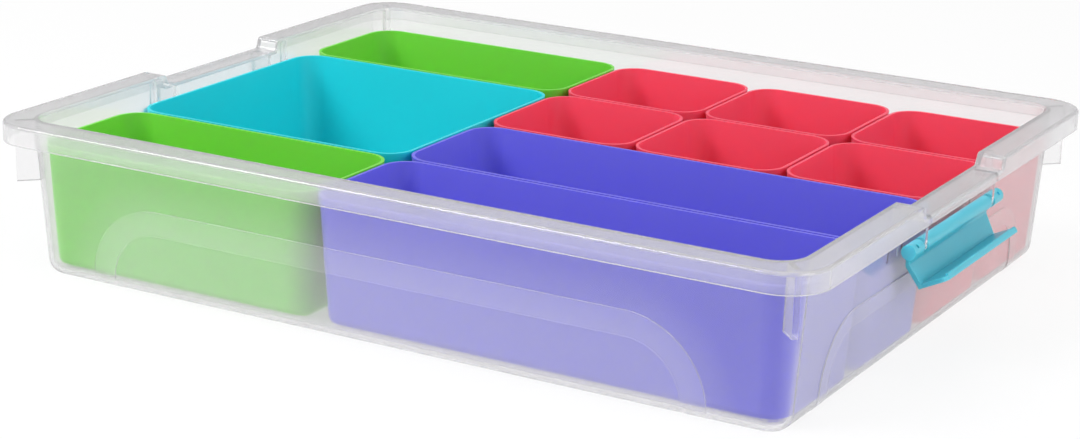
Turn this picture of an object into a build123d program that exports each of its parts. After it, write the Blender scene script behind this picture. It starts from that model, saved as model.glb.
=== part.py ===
from build123d import *
from math import radians, tan
import os

# A clear sorting tray that holds eleven loose tubs. X runs along the long side, Y across it and Z up.
# The origin is the middle of the tray on the surface that it stands on. All lengths are millimetres.

# Case: the size over its rim, and the drafted shell below the rim
case_length = 375.0
case_width = 295.0
case_height = 68.0
wall_thickness = 1.8
floor_thickness = 2.0
wall_draft = 3.9            # degrees that each wall leans outwards
wall_corner_radius = 14.0   # the shell's outer corners at the rim; they tighten towards the floor
base_edge_radius = 7.0      # the outer edge round the floor

# Rim: a flat shelf with a skirt that hangs down all round
rim_overhang = 10.2         # from the top of the wall's outer face to the skirt's outer face
rim_thickness = 1.8
rim_skirt_height = 8.6
rim_corner_radius = 18.0
rim_edge_radius = 1.4       # the rounded edge between shelf and skirt

# Notch: the dip in the rim at the middle of each short side, where a latch reaches over
notch_width = 81.0          # along the bottom of the dip
notch_depth = 5.0
notch_lean = 2.0            # how far each end of the dip leans out over its depth
notch_corner_radius = 1.6

# Gusset: an upright web across each corner, between wall and rim
gusset_thickness = 2.4
gusset_depth = 26.5         # from the rim's top to the web's foot
gusset_setback = 5.0        # from the rim's rounded corner in to the web's free edge

# Arch: a shallow raised band on each wall, shaped like a wide arch
arch_relief = 0.5
arch_inset = 45.0           # from the skirt's face in to the outside of the arch's leg
front_arch_height = 38.5
front_arch_band = 10.5
front_arch_radius = 34.0
side_arch_height = 35.0
side_arch_band = 7.0
side_arch_radius = 26.0

# Hinge of each latch: pins moulded in the latch turn in two lugs of the case
hinge_inset = 4.4           # from the skirt's outer face in to the pin's axis
hinge_depth = 18.0          # from the rim's top down to the pin's axis
pin_radius = 1.5
pin_clearance = 0.08        # between pin and lug, all round
lug_radius = 2.6
lug_thickness = 2.6
lug_spacing = 71.4          # from the middle of one lug to the middle of the other
lug_mouth = 2.4             # the gap under the pin, a little tighter than the pin, that it snaps through
guard_rib_thickness = 1.6
guard_rib_depth = 23.0      # from the rim's top to the rib's foot
guard_rib_reach = 3.8       # out from the wall
guard_rib_gap = 1.5         # between a latch's end and the rib beside it

# Latch: a barrel on the hinge, a plate that clears the skirt and a lip that hooks in over the notch
latch_open_angle = 149.0    # degrees from closed to hanging open
barrel_radius = 3.0
barrel_length = 94.0
latch_plate_width = 83.0    # where the plate leaves the barrel; it narrows to the lip's width
latch_plate_thickness = 1.8
latch_skirt_gap = 0.4       # between the closed plate and the skirt
latch_reach = 13.4          # from the pin's axis up to the lip's underside when closed
lip_length = 11.1
lip_width = 78.0
lip_slope = 5.0             # degrees that the closed lip rises inwards
lip_corner_radius = 2.5
lip_bead_radius = 0.8
slot_side_gap = 0.6         # between a lug and each side of its slot in the latch
slot_end_gap = 0.3          # between a lug and the end of its slot, where the open latch stops
dimple_radius = 0.9
dimple_depth = 0.8
dimple_offset = 7.4         # from a lug's middle out to the dimple
dimple_turn = 46.0          # degrees down from the top of the barrel to the dimple, with the latch open

# Tubs: four rows deep; two columns of long tubs, and three columns of small ones
tub_rim_depth = 10.7        # from the case's rim down to the tubs' rims
tub_wall = 1.3
tub_floor = 1.5
tub_draft = 3.9
tub_corner_radius = 12.0    # at the rim
tub_base_radius = 5.5       # the outer edge round each tub's floor
tub_edge_gap = 1.4          # between neighbouring tubs at their rims
small_tub_length = 69.0
end_play = 0.4              # between the tubs at each end of the case and its wall
side_play = 3.9             # between the tubs at the front and back of the case and its wall

# Worked out
skirt_x = case_length / 2
skirt_y = case_width / 2
wall_slope = tan(radians(wall_draft))
rim_underside = case_height - rim_thickness
notch_floor = case_height - notch_depth
ceiling = case_height + notch_depth   # the level that blocks are built up to before their tops are cut
skirt_foot = case_height - rim_skirt_height
tub_top = case_height - tub_rim_depth
hinge_x = skirt_x - hinge_inset
hinge_z = case_height - hinge_depth
long_tub_length = (
    2 * (skirt_x - rim_overhang - wall_thickness - wall_slope * tub_rim_depth - end_play)
    - 3 * (small_tub_length + tub_edge_gap)
)
rows_width = 2 * (skirt_y - rim_overhang - wall_thickness - wall_slope * tub_rim_depth - side_play)
tub_row_pitch = (rows_width + tub_edge_gap) / 4   # four rows
tub_width = tub_row_pitch - tub_edge_gap


def drafted_block(length, width, radius, level, draft, bottom, foot_radius):
    """A solid block up to the ceiling. Its walls lean out, its corners are cones and its foot is rounded.

    Length, width and corner radius are those at the given level.
    """
    shrink = tan(radians(draft)) * (level - bottom)
    foot = Pos(0, 0, bottom) * RectangleRounded(length - 2 * shrink, width - 2 * shrink, radius - shrink)
    block = extrude(foot, ceiling - bottom, taper=-draft)
    return fillet(block.faces().sort_by(Axis.Z)[0].edges(), foot_radius)


def wall_block(offset, bottom):
    """The case's drafted shell as a solid block, grown outwards by an offset."""
    grow = 2 * (offset - rim_overhang)
    return drafted_block(
        case_length + grow, case_width + grow, wall_corner_radius + offset, case_height,
        wall_draft, bottom, base_edge_radius + offset
    )


def across_x(profile):
    """Push a profile drawn on the YZ plane right through the case along X."""
    return extrude(profile, amount=case_length, both=True)


def across_y(profile):
    """Push a profile drawn on the XZ plane right through the case along Y."""
    return extrude(profile, amount=case_width, both=True)


def above_rim(drop):
    """All that lies above the rim, a drop below its top: level, with the notch's dip in the middle."""
    half_dip = notch_width / 2 + drop
    high = case_height - drop
    low = notch_floor - drop
    side = []
    for end in (-1, 1):
        dip = [(end * (half_dip + notch_lean), high), (end * half_dip, low)]
        far = [(end * case_width, 2 * case_height), (end * case_width, high)]
        side.append(far + dip)
    outline = Plane.YZ * Polygon(*side[0], *reversed(side[1]), align=None)
    dip_corners = [v for v in outline.vertices() if abs(v.Y) < skirt_y]
    return across_x(fillet(dip_corners, notch_corner_radius))


def on_skirt(edge):
    """Whether an edge runs round the skirt's outside, and not across the case."""
    middle = edge.center()
    return abs(middle.X) > skirt_x - rim_corner_radius or abs(middle.Y) > skirt_y - rim_corner_radius


def rim():
    """A shelf over the whole case with a skirt round it, dipped at each notch and open underneath."""
    outline = RectangleRounded(case_length, case_width, rim_corner_radius)
    block = extrude(Pos(0, 0, skirt_foot) * outline, ceiling - skirt_foot) - above_rim(0)
    top_edges = [
        edge for edge in block.edges().filter_by(Axis.Z, reverse=True)
        if on_skirt(edge) and edge.center().Z > (skirt_foot + notch_floor) / 2
    ]
    block = fillet(top_edges, rim_edge_radius)
    hollow = extrude(offset(outline, -rim_thickness), ceiling)
    return block - (hollow - above_rim(rim_thickness))


def gusset(side_x, side_y):
    """The upright web across one corner. It starts inside the shell, and the cavity trims it."""
    centre_x = skirt_x - rim_corner_radius
    centre_y = skirt_y - rim_corner_radius
    length = 2 * (rim_corner_radius - gusset_setback)
    height = gusset_depth - rim_thickness / 2
    web = extrude(Rectangle(length, gusset_thickness), height)
    angle = 45 * side_x * side_y
    return Pos(side_x * centre_x, side_y * centre_y, case_height - gusset_depth) * Rot(0, 0, angle) * web


def arch_face(half_span, height, band, radius):
    """A wide arch drawn on the XY plane: legs down to the floor and rounded shoulders."""
    outer = Pos(0, height / 2) * Rectangle(2 * half_span, height)
    outer = fillet(outer.vertices().sort_by(Axis.Y)[-2:], radius)
    inner = Pos(0, (height - band) / 2) * Rectangle(2 * (half_span - band), height - band)
    inner = fillet(inner.vertices().sort_by(Axis.Y)[-2:], radius - band)
    return outer - inner


def arches():
    """The raised bands on the four walls, as a thin skin that lies on the shell."""
    front = Plane.XZ * arch_face(skirt_x - arch_inset, front_arch_height, front_arch_band, front_arch_radius)
    side = Plane.YZ * arch_face(skirt_y - arch_inset, side_arch_height, side_arch_band, side_arch_radius)
    return wall_block(arch_relief, 0) & (across_y(front) + across_x(side))


def lug_outline():
    """One lug on the XZ plane at the right-hand hinge: it hangs from the rim and rings the pin."""
    wall_x = skirt_x - rim_overhang - wall_thickness
    lug_top = notch_floor - rim_thickness / 2
    web = Polygon(
        (wall_x, hinge_z - lug_radius), (hinge_x, hinge_z - lug_radius), (hinge_x, hinge_z),
        (hinge_x + lug_radius, hinge_z), (hinge_x + lug_radius, lug_top), (wall_x, lug_top),
        align=None
    )
    return web + Pos(hinge_x, hinge_z) * Circle(lug_radius)


def lugs():
    """The two lugs at the right-hand end, each with its pin hole and snap-in mouth."""
    bore = Pos(hinge_x, hinge_z) * Circle(pin_radius + pin_clearance)
    mouth = Pos(hinge_x, hinge_z - lug_radius) * Rectangle(lug_mouth, 2 * lug_radius)
    face = Plane.XZ * (lug_outline() - bore - mouth)
    lug = extrude(face, amount=lug_thickness / 2, both=True)
    return [Pos(0, side * lug_spacing / 2, 0) * lug for side in (-1, 1)]


def guard_ribs():
    """The low ribs beside the ends of the right-hand latch."""
    foot = case_height - guard_rib_depth
    wall_x = skirt_x - rim_overhang - wall_slope * (case_height - foot)
    middle_y = barrel_length / 2 + guard_rib_gap + guard_rib_thickness / 2
    outline = Polygon(
        (wall_x - wall_thickness, foot), (wall_x, foot), (wall_x + guard_rib_reach, foot + guard_rib_reach),
        (wall_x + guard_rib_reach, rim_underside), (wall_x - wall_thickness, rim_underside), align=None
    )
    rib = extrude(Plane.XZ * outline, amount=guard_rib_thickness / 2, both=True)
    return [Pos(0, side * middle_y, 0) * rib for side in (-1, 1)]


def case_shell():
    """The whole moulded case: shell, rim, gussets, arches, and the hinge lugs at both ends."""
    right_end = lugs() + guard_ribs()
    left_end = [Rot(0, 0, 180) * piece for piece in right_end]
    corners = [gusset(side_x, side_y) for side_x in (-1, 1) for side_y in (-1, 1)]
    shell = wall_block(0, 0) + arches() - above_rim(0)
    solid = shell + rim() + corners + right_end + left_end
    return solid - wall_block(-wall_thickness, floor_thickness)


def latch_closed():
    """A latch in its closed place: the pin's axis is the Y axis, +X is outwards and +Z is up."""
    inner_x = hinge_inset + latch_skirt_gap
    outer_x = inner_x + latch_plate_thickness
    top = latch_reach + latch_plate_thickness
    shoulder = barrel_radius + latch_plate_thickness
    plate = Plane.XZ * Polygon(
        (0, 0), (barrel_radius - latch_plate_thickness / 2, 0), (inner_x, shoulder), (inner_x, latch_reach),
        (inner_x, top), (outer_x, top), (outer_x, shoulder), (barrel_radius, 0), (0, -barrel_radius),
        align=None
    )
    plate = extrude(plate, amount=latch_plate_width / 2, both=True)
    half_lip = lip_width / 2
    half_plate = latch_plate_width / 2
    sides = Plane.YZ * Polygon(
        (-half_plate, -barrel_radius), (-half_plate, barrel_radius), (-half_lip, top),
        (half_lip, top), (half_plate, barrel_radius), (half_plate, -barrel_radius), align=None
    )
    plate &= extrude(sides, amount=2 * outer_x, both=True)
    barrel = extrude(Plane.XZ * Circle(barrel_radius), amount=barrel_length / 2, both=True)
    return plate + barrel + latch_lip(outer_x)


def latch_lip(outer_x):
    """The lip of a closed latch, with the bead under its free edge."""
    length = lip_length + latch_plate_thickness
    sheet = Pos(-length / 2, 0) * Rectangle(length, lip_width)
    sheet = fillet(sheet.vertices().sort_by(Axis.X)[:2], lip_corner_radius)
    lip = extrude(sheet, latch_plate_thickness)
    bead = Plane.XZ * Circle(lip_bead_radius)
    bead = extrude(bead, amount=lip_width / 2 - lip_corner_radius, both=True)
    lip += Pos(-length + lip_bead_radius, 0, 0) * bead
    return Pos(outer_x, 0, latch_reach) * Rot(0, lip_slope, 0) * lip


def latch_right():
    """The right-hand latch, hanging open, with the slots that its two lugs pass through."""
    latch = Pos(hinge_x, 0, hinge_z) * Rot(0, latch_open_angle, 0) * latch_closed()
    slot = lug_outline() + Pos(hinge_x, hinge_z) * Circle(barrel_radius)
    slot = offset(slot, slot_end_gap) - Pos(hinge_x, hinge_z) * Circle(pin_radius)
    cutter = extrude(Plane.XZ * slot, amount=lug_thickness / 2 + slot_side_gap, both=True)
    for side in (-1, 1):
        latch -= Pos(0, side * lug_spacing / 2, 0) * cutter
        place_y = side * (lug_spacing / 2 + dimple_offset)
        dimple = Pos(0, 0, barrel_radius) * Cylinder(dimple_radius, 2 * dimple_depth)
        latch -= Pos(hinge_x, place_y, hinge_z) * Rot(0, dimple_turn, 0) * dimple
    return latch


def tub(length, width):
    """One tub, centred on the Z axis, standing on the case's floor."""
    outer = drafted_block(
        length, width, tub_corner_radius, tub_top, tub_draft, floor_thickness, tub_base_radius
    )
    inner = drafted_block(
        length - 2 * tub_wall, width - 2 * tub_wall, tub_corner_radius - tub_wall, tub_top,
        tub_draft, floor_thickness + tub_floor, tub_base_radius - tub_wall
    )
    return split(outer - inner, Plane.XY.offset(tub_top), keep=Keep.BOTTOM)


def tub_layout():
    """Name, length, width, and middle of every tub."""
    span = long_tub_length + 3 * (small_tub_length + tub_edge_gap)
    long_x = -span / 2 + long_tub_length / 2
    block_left = -span / 2 + long_tub_length + tub_edge_gap
    block_length = 3 * small_tub_length + 2 * tub_edge_gap
    block_x = block_left + block_length / 2
    row = [(index - 1.5) * tub_row_pitch for index in range(4)]
    double_width = 2 * tub_row_pitch - tub_edge_gap
    layout = [
        ("tub_green_front", long_tub_length, tub_width, long_x, row[0]),
        ("tub_turquoise", long_tub_length, double_width, long_x, 0),
        ("tub_green_back", long_tub_length, tub_width, long_x, row[3]),
        ("tub_purple_front", block_length, tub_width, block_x, row[0]),
        ("tub_purple_back", block_length, tub_width, block_x, row[1]),
    ]
    for column, side in enumerate(("left", "middle", "right")):
        middle_x = block_left + small_tub_length / 2 + column * (small_tub_length + tub_edge_gap)
        layout.append((f"tub_red_front_{side}", small_tub_length, tub_width, middle_x, row[2]))
        layout.append((f"tub_red_back_{side}", small_tub_length, tub_width, middle_x, row[3]))
    return layout


def build():
    """Every piece of the tray by its name."""
    pieces = {"case_shell": case_shell()}
    right = latch_right()
    pieces["latch_right"] = right
    pieces["latch_left"] = Rot(0, 0, 180) * right
    for name, length, width, middle_x, middle_y in tub_layout():
        pieces[name] = Pos(middle_x, middle_y, 0) * tub(length, width)
    return pieces


os.makedirs("parts", exist_ok=True)
for piece_name, piece in build().items():
    export_step(piece, f"parts/{piece_name}.step")
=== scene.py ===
"""A clear sorting tray with two teal latches and eleven coloured lift-out tubs.

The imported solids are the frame. This script gives them their finish, and adds the floor, the lights and
the camera. Lengths are in metres. The materials read each solid's own coordinates, so their grain and
bands have a real size.
"""
import math
import bpy
from mathutils import Matrix, Vector


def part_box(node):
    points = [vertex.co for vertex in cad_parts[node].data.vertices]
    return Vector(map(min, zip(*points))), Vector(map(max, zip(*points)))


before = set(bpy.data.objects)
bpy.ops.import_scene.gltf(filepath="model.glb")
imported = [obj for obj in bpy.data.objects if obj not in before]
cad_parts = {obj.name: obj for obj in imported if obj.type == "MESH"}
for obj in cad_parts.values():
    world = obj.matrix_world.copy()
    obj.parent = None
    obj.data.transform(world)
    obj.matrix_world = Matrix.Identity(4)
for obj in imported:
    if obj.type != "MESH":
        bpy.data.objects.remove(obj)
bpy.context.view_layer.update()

MM = 0.001
WHITE = (1, 1, 1, 1)
NOISE_RANGE = (0.3, 0.7)    # what a noise mostly keeps to


# ---- nodes ----

class Graph:
    """A node tree, with short calls that add nodes and join them."""

    def __init__(self, tree):
        self.nodes = tree.nodes
        self.links = tree.links

    def feed(self, socket, value):
        """Joins a socket to another one, or sets it to a plain value."""
        if isinstance(value, bpy.types.NodeSocket):
            self.links.new(value, socket)
        else:
            socket.default_value = value

    def fill(self, node, values):
        """Feeds a node's inputs by name."""
        for name, value in values.items():
            self.feed(node.inputs[name], value)
        return node

    def math(self, operation, *values):
        """One step of arithmetic on sockets and plain numbers."""
        node = self.nodes.new("ShaderNodeMath")
        node.operation = operation
        for socket, value in zip(node.inputs, values):
            self.feed(socket, value)
        return node.outputs["Value"]

    def chain(self, operation, first, *others):
        """The same arithmetic over any number of values."""
        for value in others:
            first = self.math(operation, first, value)
        return first

    def distance(self, value, other):
        """How far apart two values are."""
        return self.math("ABSOLUTE", self.math("SUBTRACT", value, other))

    def excess(self, value, limit):
        """How far a value is over a limit, and 0 under it."""
        return self.math("MAXIMUM", self.math("SUBTRACT", value, limit), 0.0)

    def split(self, vector):
        """The X, Y and Z of a vector."""
        node = self.nodes.new("ShaderNodeSeparateXYZ")
        self.links.new(vector, node.inputs["Vector"])
        return node.outputs["X"], node.outputs["Y"], node.outputs["Z"]

    def ramp(self, source, low, high, start, end):
        """Maps low..high to start..end, and holds the end values beyond."""
        values = {"Value": source, "From Min": low, "From Max": high, "To Min": start, "To Max": end}
        return self.fill(self.nodes.new("ShaderNodeMapRange"), values).outputs["Result"]

    def noise(self, scale):
        """A noise in object space, with scale features to the metre."""
        place = self.nodes.new("ShaderNodeTexCoord")
        values = {"Scale": scale, "Detail": 2.0, "Vector": place.outputs["Object"]}
        return self.fill(self.nodes.new("ShaderNodeTexNoise"), values).outputs["Fac"]

    def vary(self, noise, start, end):
        """A value that follows a noise from start to end."""
        return self.ramp(noise, *NOISE_RANGE, start, end)

    def bump(self, height, distance):
        """A surface raised by up to a distance where the height is 1."""
        values = {"Height": height, "Distance": distance, "Strength": 1.0}
        return self.fill(self.nodes.new("ShaderNodeBump"), values).outputs["Normal"]

    def mix_colors(self, factor, first, second):
        """The first colour where the factor is 0, and the second where it is 1."""
        node = self.nodes.new("ShaderNodeMix")
        node.data_type = "RGBA"
        values = {"Factor": factor, "A": (*first, 1), "B": (*second, 1)}
        return self.fill(node, values).outputs["Result"]

    def drift(self, color, share, noise):
        """A colour that drifts by a share of itself to either side."""
        darker = [c * (1 - share) for c in color]
        lighter = [min(1, c * (1 + share)) for c in color]
        return self.mix_colors(noise, darker, lighter)

    def show_mix(self, factor, first, second):
        """Shows a mix of two shaders on the material's surface."""
        node = self.nodes.new("ShaderNodeMixShader")
        for socket, value in zip(node.inputs, (factor, first, second)):
            self.links.new(value, socket)
        self.links.new(node.outputs["Shader"], self.nodes["Material Output"].inputs["Surface"])


def new_material(name):
    """A new material, its node tree as a Graph, and the main shader in it."""
    material = bpy.data.materials.new(name)
    material.use_nodes = True
    graph = Graph(material.node_tree)
    return material, graph, graph.nodes["Principled BSDF"]


# ---- coloured plastics ----

TUB_COLORS = {
    "tub_green": (0.17, 0.62, 0.05),
    "tub_turquoise": (0.012, 0.60, 0.67),
    "tub_purple": (0.15, 0.14, 0.70),
    "tub_red": (0.82, 0.07, 0.13),
}
TUB_DRIFT = 0.04            # how far the colour drifts, as a share of itself
TUB_ROUGHNESS = (0.36, 0.42)
TUB_CLOUD = 9.0             # features to the metre, of the drift in colour and gloss
TUB_GRAIN = 700.0           # features to the metre, of the fine relief
TUB_GRAIN_DEPTH = 0.004 * MM

LATCH_COLOR = (0.085, 0.52, 0.64)
LATCH_DRIFT = 0.05
LATCH_ROUGHNESS = (0.30, 0.36)
LATCH_CLOUD = 60.0


def tub_plastic(name, color):
    """Opaque moulded polypropylene with a soft sheen."""
    material, graph, shader = new_material(name)
    cloud = graph.noise(TUB_CLOUD)
    graph.fill(shader, {
        "Base Color": graph.drift(color, TUB_DRIFT, cloud),
        "Roughness": graph.vary(cloud, *TUB_ROUGHNESS),
        "Normal": graph.bump(graph.noise(TUB_GRAIN), TUB_GRAIN_DEPTH),
        "Subsurface Weight": 0.5,
        "Subsurface Radius": color,
        "Subsurface Scale": 2 * MM,
    })
    return material


def latch_plastic():
    """Teal polypropylene that lets a little light through."""
    material, graph, shader = new_material("latch_teal")
    cloud = graph.noise(LATCH_CLOUD)
    graph.fill(shader, {
        "Base Color": graph.drift(LATCH_COLOR, LATCH_DRIFT, cloud),
        "Roughness": graph.vary(cloud, *LATCH_ROUGHNESS),
        "Transmission Weight": 0.15,
        "Subsurface Weight": 0.6,
        "Subsurface Radius": (0.3, 0.9, 1.0),
        "Subsurface Scale": 3 * MM,
    })
    return material


# ---- clear plastic of the case ----

RIM_END, RIM_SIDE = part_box("case_shell")[1][:2]

# The raised arches on the walls: half span, height, width of the band and outer radius.
ARCH_INSET = 45 * MM        # from the rim's outer face in to the outer foot of an arch
FRONT_ARCH = (RIM_END - ARCH_INSET, 38.5 * MM, 10.5 * MM, 34 * MM)
SIDE_ARCH = (RIM_SIDE - ARCH_INSET, 35 * MM, 7 * MM, 26 * MM)
BAND_BLUR = 0.3 * MM        # how far to either side of its line a band fades
GLOW_FADE = 14 * MM         # how far to either side of the outer line the glow fades
EDGE_NEAR = 0.8 * MM        # a band's narrow sides lie this near to its lines
EDGE_FAR = 1.2 * MM         # and their mask ends here
WALL_TURN = 0.7             # the least part of a wall's normal along the axis that the wall stands across

# The hinge lugs at both ends of the case
LUG_PLACE = 35.7 * MM       # from the case's middle plane to the middle of a lug
LUG_HALF = 1.6 * MM         # half its thickness and a little more
LUG_START = 177.6 * MM      # the lugs lie further from the middle than this, beyond the end wall
LUG_TOP = 61 * MM           # and under this height

# How much of the light the plastic scatters, and where
SLANT_HAZE = 0.38           # where it is seen at a slant
SLANT_HAZE_POWER = 1.3
GLOW_HAZE = 0.09            # in and round the arches of the long walls
FRONT_BAND_HAZE = 0.045
SIDE_BAND_HAZE = 0.05
FRONT_EDGE_HAZE = 0.12
SIDE_EDGE_HAZE = 0.4
RIM_HAZE = 0.07             # in the rim
RIM_HAZE_FROM = 57 * MM     # the heights over which it comes in
RIM_HAZE_TO = 61 * MM
LUG_CLEARNESS = 0.5         # the share of the haze that the lugs lack

CLEAR_INDEX = 1.49
CLEAR_ROUGHNESS = (0.12, 0.17)
CLEAR_TINT = (0.915, 0.91, 0.915)
DEEP_TINT = (0.51, 0.50, 0.515)     # where the light crosses the plastic at a slant
DEEP_TINT_POWER = 1.8
SHADOW_TINT = (0.92, 0.92, 0.93, 1)     # the share of the lamps' light that each face lets through
CLEAR_CLOUD = 14.0          # features to the metre, of the drift in gloss
CLEAR_WAVE = 20.0           # features to the metre, of the slight waves of the walls
CLEAR_WAVE_DEPTH = 0.08 * MM


def arch_masks(graph, along, up, facing, arch):
    """Masks for one pair of walls: a glow in and round the arch, its band, and the band's narrow sides."""
    half_span, height, band, radius = arch
    aside = graph.excess(graph.math("ABSOLUTE", along), half_span - radius)
    above = graph.excess(up, height - radius)
    squares = [graph.math("MULTIPLY", side, side) for side in (aside, above)]
    reach = graph.math("SQRT", graph.math("ADD", *squares))
    outer_line, inner_line = radius, radius - band

    turned = graph.math("ABSOLUTE", facing)
    wall = graph.math("GREATER_THAN", turned, WALL_TURN)
    glow = graph.ramp(reach, outer_line - GLOW_FADE, outer_line + GLOW_FADE, 1.0, 0.0)
    inside_outer = graph.ramp(reach, outer_line - BAND_BLUR, outer_line + BAND_BLUR, 1.0, 0.0)
    outside_inner = graph.ramp(reach, inner_line - BAND_BLUR, inner_line + BAND_BLUR, 0.0, 1.0)

    off_lines = [graph.distance(reach, line) for line in (outer_line, inner_line)]
    near_line = graph.ramp(graph.math("MINIMUM", *off_lines), EDGE_NEAR, EDGE_FAR, 1.0, 0.0)
    return (
        graph.math("MULTIPLY", glow, wall),
        graph.chain("MULTIPLY", inside_outer, wall, outside_inner),
        graph.math("MULTIPLY", near_line, graph.math("LESS_THAN", turned, WALL_TURN)),
    )


def lug_mask(graph, along, across, up):
    """1 on the four hinge lugs and on the strip of skirt in front of each, and 0 elsewhere."""
    off_middle = graph.distance(graph.math("ABSOLUTE", across), LUG_PLACE)
    return graph.chain(
        "MULTIPLY",
        graph.math("LESS_THAN", off_middle, LUG_HALF),
        graph.math("GREATER_THAN", graph.math("ABSOLUTE", along), LUG_START),
        graph.math("LESS_THAN", up, LUG_TOP),
    )


def clear_plastic():
    """Milky clear polypropylene, a little cloudier at the arches, at the rim and at a slant."""
    material, graph, shader = new_material("case_clear")
    place = graph.nodes.new("ShaderNodeTexCoord")
    along, across, up = graph.split(place.outputs["Object"])
    end_facing, side_facing, _ = graph.split(place.outputs["Normal"])
    glow, front_band, front_edge = arch_masks(graph, along, up, side_facing, FRONT_ARCH)
    _, side_band, side_edge = arch_masks(graph, across, up, end_facing, SIDE_ARCH)
    lug = lug_mask(graph, along, across, up)
    slant = graph.fill(graph.nodes.new("ShaderNodeLayerWeight"), {"Blend": 0.5}).outputs["Facing"]

    hazes = (
        (graph.math("POWER", slant, SLANT_HAZE_POWER), SLANT_HAZE),
        (glow, GLOW_HAZE),
        (front_band, FRONT_BAND_HAZE),
        (side_band, SIDE_BAND_HAZE),
        (front_edge, FRONT_EDGE_HAZE),
        (side_edge, SIDE_EDGE_HAZE),
        (graph.ramp(up, RIM_HAZE_FROM, RIM_HAZE_TO, 0.0, 1.0), RIM_HAZE),
    )
    haze = graph.chain("ADD", *[graph.math("MULTIPLY", mask, amount) for mask, amount in hazes])
    off_lug = graph.math("SUBTRACT", 1.0, graph.math("MULTIPLY", lug, LUG_CLEARNESS))
    thin = graph.math("SUBTRACT", 1.0, graph.chain("MAXIMUM", lug, front_edge, side_edge))
    depth = graph.math("MULTIPLY", graph.math("POWER", slant, DEEP_TINT_POWER), thin)

    graph.fill(shader, {
        "IOR": CLEAR_INDEX,
        "Base Color": graph.mix_colors(depth, CLEAR_TINT, DEEP_TINT),
        "Transmission Weight": graph.math("SUBTRACT", 1.0, graph.math("MULTIPLY", haze, off_lug)),
        "Roughness": graph.vary(graph.noise(CLEAR_CLOUD), *CLEAR_ROUGHNESS),
        "Normal": graph.bump(graph.noise(CLEAR_WAVE), CLEAR_WAVE_DEPTH),
    })
    # Shadow rays pass straight through, so the lamps light what lies behind the plastic.
    shadow = graph.fill(graph.nodes.new("ShaderNodeBsdfTransparent"), {"Color": SHADOW_TINT})
    lamp_ray = graph.nodes.new("ShaderNodeLightPath").outputs["Is Shadow Ray"]
    graph.show_mix(lamp_ray, shader.outputs["BSDF"], shadow.outputs["BSDF"])
    return material


# ---- the finish of each solid ----

def dress_all():
    """Gives every carried-over solid its plastic."""
    tubs = {name: tub_plastic(name, color) for name, color in TUB_COLORS.items()}
    latch = latch_plastic()
    clear = clear_plastic()
    for node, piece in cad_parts.items():
        kind, color = node.split("_")[:2]
        if kind == "tub":
            material = tubs[f"tub_{color}"]
        elif kind == "latch":
            material = latch
        else:
            material = clear
        piece.data.materials.clear()
        piece.data.materials.append(material)


# ---- floor and light ----

FLOOR_SIDE = 12
FLOOR_ROUGHNESS = 0.6
FLOOR_COLOR = (0.9, 0.9, 0.9, 1)
FLOOR_WHITENESS = 0.85      # how far the floor is plain white where it is seen

# name, place, size and watts of each lamp
LAMPS = (
    ("key", (-0.9, -1.0, 1.2), (0.9, 0.7), 22),
    ("top", (0.2, 0.4, 1.6), (1.4, 1.0), 6.5),
    ("side", (1.5, -0.3, 0.9), (0.9, 0.9), 10),
)
LAMP_TARGET = Vector((0, 0, 0.03))

# the strength of the white surround
SKY_HORIZON = 0.98
SKY_OVERHEAD = 0.45
SKY_HEIGHT = 0.5            # the direction's Z from which it is as dim as overhead
SKY_LEFT = 0.6              # shares of that strength
SKY_RIGHT = 1.2


def floor():
    """A plain pale floor that reaches far beyond the tray and keeps its shadow."""
    bpy.ops.mesh.primitive_plane_add(size=FLOOR_SIDE)
    plane = bpy.context.object
    plane.name = "floor"
    material, graph, shader = new_material("floor_white")
    graph.fill(shader, {"Base Color": FLOOR_COLOR, "Roughness": FLOOR_ROUGHNESS})
    path = graph.nodes.new("ShaderNodeLightPath")
    rays = [path.outputs[f"Is {kind} Ray"] for kind in ("Camera", "Glossy", "Transmission")]
    seen = graph.math("MULTIPLY", graph.chain("MAXIMUM", *rays), FLOOR_WHITENESS)
    white = graph.nodes.new("ShaderNodeEmission")
    graph.show_mix(seen, shader.outputs["BSDF"], white.outputs["Emission"])
    plane.data.materials.append(material)


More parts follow.
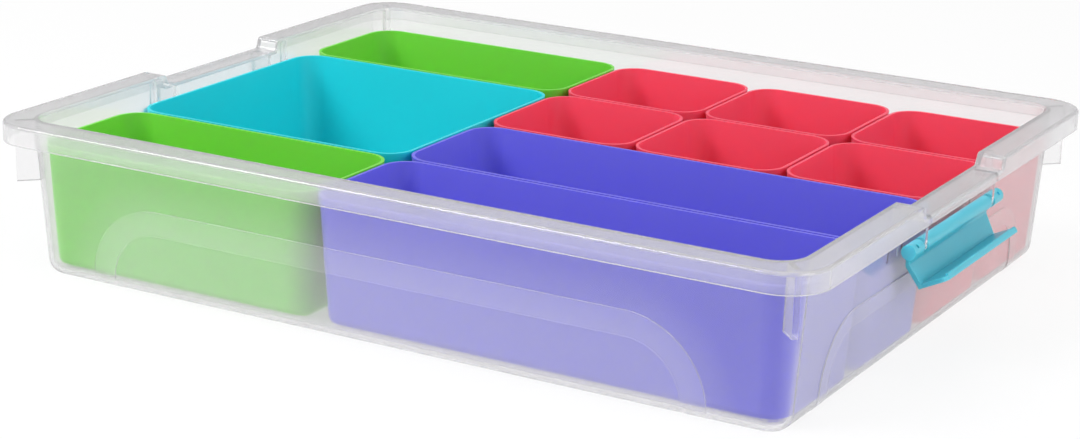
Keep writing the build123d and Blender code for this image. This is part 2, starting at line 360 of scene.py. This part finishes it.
def lamps():
    """Three soft boxes, all aimed at the tray."""
    for name, place, size, watts in LAMPS:
        data = bpy.data.lights.new(name, "AREA")
        data.shape = "RECTANGLE"
        data.size, data.size_y = size
        data.energy = watts
        lamp = bpy.data.objects.new(name, data)
        lamp.location = place
        lamp.rotation_euler = (LAMP_TARGET - Vector(place)).to_track_quat("-Z", "Y").to_euler()
        bpy.context.collection.objects.link(lamp)


def sky():
    """A white surround, dimmer overhead and at the left."""
    world = bpy.data.worlds.new("studio")
    world.use_nodes = True
    graph = Graph(world.node_tree)
    place = graph.nodes.new("ShaderNodeTexCoord")
    sideways, _, upward = graph.split(place.outputs["Generated"])
    strength = graph.math(
        "MULTIPLY",
        graph.ramp(upward, 0.0, SKY_HEIGHT, SKY_HORIZON, SKY_OVERHEAD),
        graph.ramp(sideways, -1.0, 1.0, SKY_LEFT, SKY_RIGHT),
    )
    graph.fill(graph.nodes["Background"], {"Color": WHITE, "Strength": strength})
    bpy.context.scene.world = world


# ---- camera: the photograph's view of the tray ----

CAMERA_PLACE = Vector((0.52285, -0.91797, 0.34315))
CAMERA_YAW = -29.93         # degrees from +Y, clockwise seen from above
CAMERA_PITCH = 17.02        # degrees down
CAMERA_ROLL = -1.22         # degrees
CAMERA_LENS = 85.1          # mm, on the sensor below
SENSOR_WIDTH = 36           # mm
CLIP_START = 0.01


def camera():
    """The camera, set by its place, three turns and its lens."""
    data = bpy.data.cameras.new("camera")
    data.lens = CAMERA_LENS
    data.sensor_width = SENSOR_WIDTH
    data.clip_start = CLIP_START
    turn = (
        Matrix.Rotation(math.radians(-CAMERA_YAW), 4, "Z")
        @ Matrix.Rotation(math.radians(90 - CAMERA_PITCH), 4, "X")
        @ Matrix.Rotation(math.radians(-CAMERA_ROLL), 4, "Z")
    )
    view = bpy.data.objects.new("camera", data)
    view.matrix_world = Matrix.Translation(CAMERA_PLACE) @ turn
    bpy.context.collection.objects.link(view)
    bpy.context.scene.camera = view


dress_all()
floor()
lamps()
sky()
camera()
bpy.context.scene.view_settings.view_transform = "Standard"
# The light crosses many thin walls of clear plastic.
bpy.context.scene.cycles.transparent_max_bounces = 32
bpy.context.scene.cycles.transmission_bounces = 24
bpy.context.scene.cycles.max_bounces = 24
